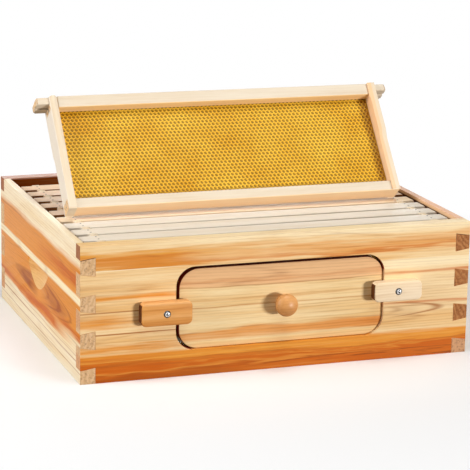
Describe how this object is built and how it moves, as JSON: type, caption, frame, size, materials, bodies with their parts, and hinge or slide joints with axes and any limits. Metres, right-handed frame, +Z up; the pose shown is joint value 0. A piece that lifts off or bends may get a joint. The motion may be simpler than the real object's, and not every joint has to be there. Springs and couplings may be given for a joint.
{
  "type": "beehive super with observation window",
  "caption": "Dovetailed wooden honey super with hung frames of comb foundation and an observation window behind an inset door held by turn buttons; one frame leans on top.",
  "frame": {"origin": "middle of the footprint, knob included, on the ground", "axes": "+X along the front to the right, +Y from the front to the back, +Z up"},
  "size_m": [0.505, 0.4352, 0.3093],
  "materials": {
    "box_wood": "waxed satin",
    "door_wood": "waxed satin",
    "knob_wood": "waxed gloss",
    "button_wood": "waxed satin",
    "frame_wood": "bare planed",
    "foundation_wax": "embossed",
    "clear_pane": "clear polished",
    "screw_steel": "bright zinc"
  },
  "bodies": {
    "hive_box": {"front_board": "box_wood", "back_board": "box_wood", "left_end_board": "box_wood", "right_end_board": "box_wood", "window_pane": "clear_pane", "pane_screws": "screw_steel", "left_button_screw": "screw_steel", "right_button_screw": "screw_steel"},
    "window_door": {"window_door": "door_wood", "door_knob": "knob_wood", "knob_screw": "screw_steel"},
    "left_button": {"left_turn_button": "button_wood"},
    "right_button": {"right_turn_button": "button_wood"},
    "frame_1": {"frame_1_top_bar": "frame_wood", "frame_1_end_bars": "frame_wood", "frame_1_bottom_bar": "frame_wood", "frame_1_foundation": "foundation_wax"},
    "frame_2": {"frame_2_top_bar": "frame_wood", "frame_2_end_bars": "frame_wood", "frame_2_bottom_bar": "frame_wood", "frame_2_foundation": "foundation_wax"},
    "frame_3": {"frame_3_top_bar": "frame_wood", "frame_3_end_bars": "frame_wood", "frame_3_bottom_bar": "frame_wood", "frame_3_foundation": "foundation_wax"},
    "frame_4": {"frame_4_top_bar": "frame_wood", "frame_4_end_bars": "frame_wood", "frame_4_bottom_bar": "frame_wood", "frame_4_foundation": "foundation_wax"},
    "frame_5": {"frame_5_top_bar": "frame_wood", "frame_5_end_bars": "frame_wood", "frame_5_bottom_bar": "frame_wood", "frame_5_foundation": "foundation_wax"},
    "frame_6": {"frame_6_top_bar": "frame_wood", "frame_6_end_bars": "frame_wood", "frame_6_bottom_bar": "frame_wood", "frame_6_foundation": "foundation_wax"},
    "frame_7": {"frame_7_top_bar": "frame_wood", "frame_7_end_bars": "frame_wood", "frame_7_bottom_bar": "frame_wood", "frame_7_foundation": "foundation_wax"},
    "frame_8": {"frame_8_top_bar": "frame_wood", "frame_8_end_bars": "frame_wood", "frame_8_bottom_bar": "frame_wood", "frame_8_foundation": "foundation_wax"},
    "frame_9": {"frame_9_top_bar": "frame_wood", "frame_9_end_bars": "frame_wood", "frame_9_bottom_bar": "frame_wood", "frame_9_foundation": "foundation_wax"},
    "frame_10": {"frame_10_top_bar": "frame_wood", "frame_10_end_bars": "frame_wood", "frame_10_bottom_bar": "frame_wood", "frame_10_foundation": "foundation_wax"}
  },
  "joints": [
    {"name": "door_pull", "type": "slide", "parent": "hive_box", "child": "window_door", "axis": [0, -1, 0], "range_m": [0, 0.0036]},
    {"name": "left_button_turn", "type": "hinge", "parent": "hive_box", "child": "left_button", "pos_m": [-0.1482, -0.1957, 0.083], "axis": [0, -1, 0], "continuous": true},
    {"name": "right_button_turn", "type": "hinge", "parent": "hive_box", "child": "right_button", "pos_m": [0.1522, -0.1957, 0.0895], "axis": [0, -1, 0], "continuous": true},
    {"name": "frame_1_lift", "type": "slide", "parent": "hive_box", "child": "frame_1", "axis": [0, 0, 1], "range_m": [0, 0.175]},
    {"name": "frame_2_lift", "type": "slide", "parent": "hive_box", "child": "frame_2", "axis": [0, 0, 1], "range_m": [0, 0.175]},
    {"name": "frame_3_lift", "type": "slide", "parent": "hive_box", "child": "frame_3", "axis": [0, 0, 1], "range_m": [0, 0.175]},
    {"name": "frame_4_lift", "type": "slide", "parent": "hive_box", "child": "frame_4", "axis": [0, 0, 1], "range_m": [0, 0.175]},
    {"name": "frame_5_lift", "type": "slide", "parent": "hive_box", "child": "frame_5", "axis": [0, 0, 1], "range_m": [0, 0.015]},
    {"name": "frame_6_lift", "type": "slide", "parent": "hive_box", "child": "frame_6", "axis": [0, 0, 1], "range_m": [0, 0.058]},
    {"name": "frame_7_lift", "type": "slide", "parent": "hive_box", "child": "frame_7", "axis": [0, 0, 1], "range_m": [0, 0.097]},
    {"name": "frame_8_lift", "type": "slide", "parent": "hive_box", "child": "frame_8", "axis": [0, 0, 1], "range_m": [0, 0.175]},
    {"name": "frame_9_lift", "type": "slide", "parent": "hive_box", "child": "frame_9", "axis": [0, 0, 1], "range_m": [0, 0.175]},
    {"name": "frame_10_lift", "type": "slide", "parent": "frame_4", "child": "frame_10", "axis": [0, 0, 1], "range_m": [0, 0.15]}
  ]
}
